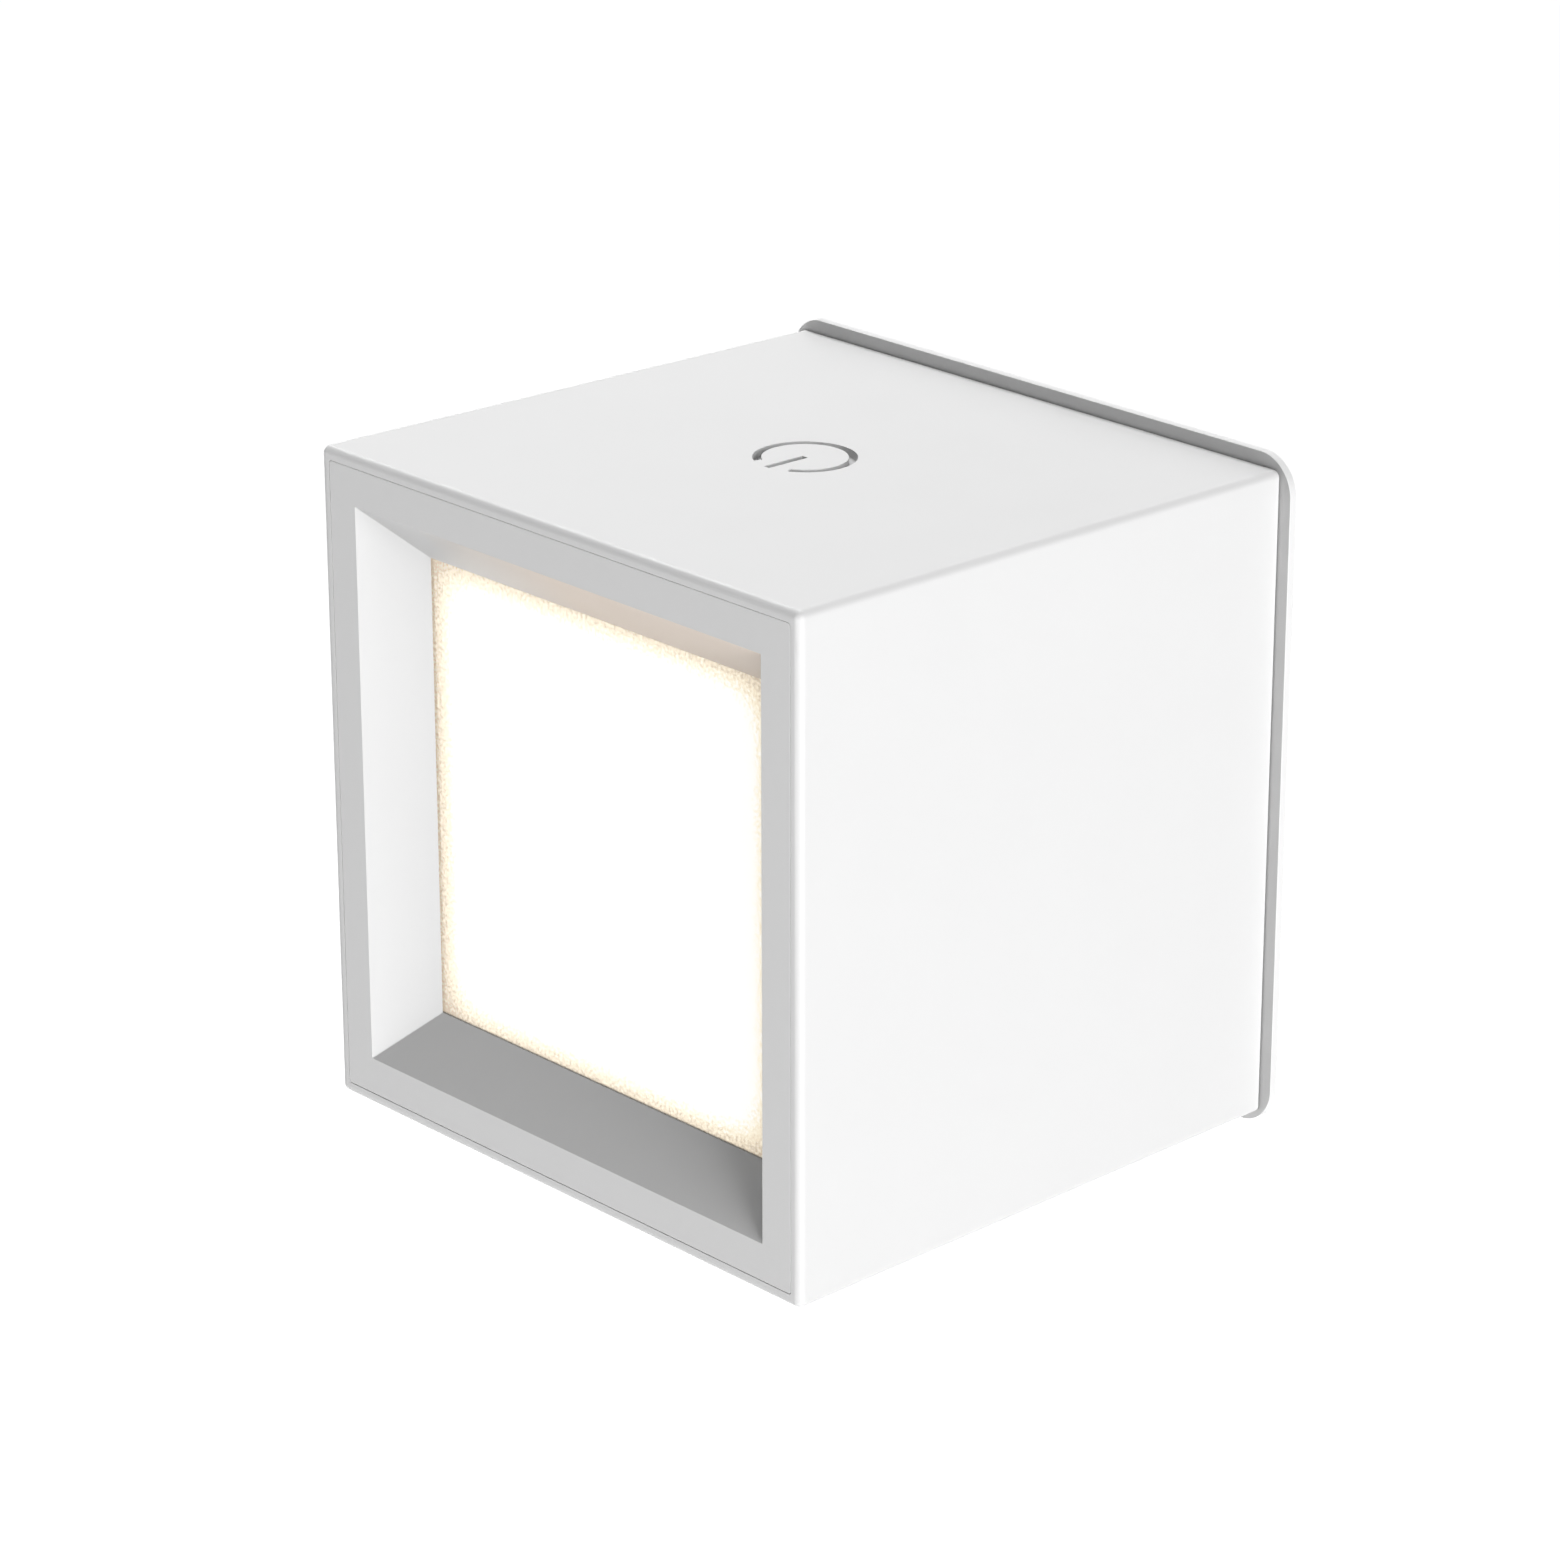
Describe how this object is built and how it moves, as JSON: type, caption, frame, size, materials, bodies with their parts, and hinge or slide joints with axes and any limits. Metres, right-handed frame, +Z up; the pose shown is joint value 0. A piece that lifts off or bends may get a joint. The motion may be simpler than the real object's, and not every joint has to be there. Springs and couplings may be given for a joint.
{
  "type": "rechargeable wall light",
  "caption": "White cube-shaped rechargeable wall light with a reveal-framed glowing front panel and a touch key on top, held by magnets on a thin steel wall plate.",
  "frame": {"origin": "centre of the wall plate's back face, where it meets the wall", "axes": "+Z up, +Y into the wall, +X to the right of someone facing the light, which shines along -Y"},
  "size_m": [0.1028, 0.0939, 0.1028],
  "materials": {
    "white_shell": "fine matte moulded ABS",
    "white_bezel": "fine matte moulded ABS",
    "opal_panel": "opal acrylic, lit from behind",
    "plate_coating": "white powder-coated steel sheet",
    "grey_nylon": "moulded nylon",
    "zinc_screw": "zinc-plated steel",
    "clear_silicone": "translucent silicone",
    "white_silicone": "white silicone",
    "black_rubber": "black rubber",
    "reflector_white": "white moulded polycarbonate",
    "white_board": "aluminium-core board with white mask",
    "light_package": "phosphor in a white package",
    "chassis_aluminium": "mill-finish sheet",
    "cell_sleeve": "metal can in a blue shrink sleeve",
    "nickel": "nickel strip",
    "green_board": "glass-epoxy board with green mask",
    "black_epoxy": "moulded epoxy",
    "white_connector": "moulded nylon",
    "black_plastic": "moulded polymer",
    "socket_steel": "drawn stainless steel",
    "clear_acrylic": "clear acrylic",
    "copper_pad": "copper-clad board",
    "red_wire": "insulated wire",
    "black_wire": "insulated wire",
    "white_wire": "insulated wire",
    "nickel_magnet": "nickel-plated magnet"
  },
  "bodies": {
    "wall_mount": {"wall_plate": "plate_coating", "locator": "grey_nylon", "locator_screws": "zinc_screw"},
    "lamp": {"body_shell": "white_shell", "front_bezel": "white_bezel", "bezel_seal": "clear_silicone", "diffuser": "opal_panel", "diffuser_seal": "clear_silicone", "reflector": "reflector_white", "led_board": "white_board", "led_packages": "light_package", "led_board_screws": "zinc_screw", "chassis": "chassis_aluminium", "bezel_screws": "zinc_screw", "rear_screws": "zinc_screw", "lead_grommet": "black_rubber", "battery_cells": "cell_sleeve", "cell_strips": "nickel", "battery_cradle": "grey_nylon", "battery_clamp": "grey_nylon", "battery_screws": "zinc_screw", "control_board": "green_board", "board_components": "black_epoxy", "board_headers": "white_connector", "lead_plugs": "white_connector", "board_screws": "zinc_screw", "usb_receptacle": "socket_steel", "usb_tongue": "black_plastic", "port_seal": "clear_silicone", "light_pipe": "clear_acrylic", "touch_pad": "copper_pad", "touch_lead": "white_wire", "led_lead_red": "red_wire", "led_lead_black": "black_wire", "battery_lead_red": "red_wire", "battery_lead_black": "black_wire", "magnets": "nickel_magnet", "grip_pads": "black_rubber", "port_cover_tail": "white_silicone"},
    "port_cover": {"port_cover": "white_silicone"}
  },
  "joints": [
    {"name": "lamp_pull_off", "type": "slide", "parent": "wall_mount", "child": "lamp", "axis": [0, -1, 0], "range_m": [0, 0.04]},
    {"name": "port_cover_hinge", "type": "hinge", "parent": "lamp", "child": "port_cover", "pos_m": [-0.0098, -0.01923, -0.04944], "axis": [0, 1, 0], "range_deg": [0, 110], "stiffness_Nm_per_rad": 0.002}
  ]
}
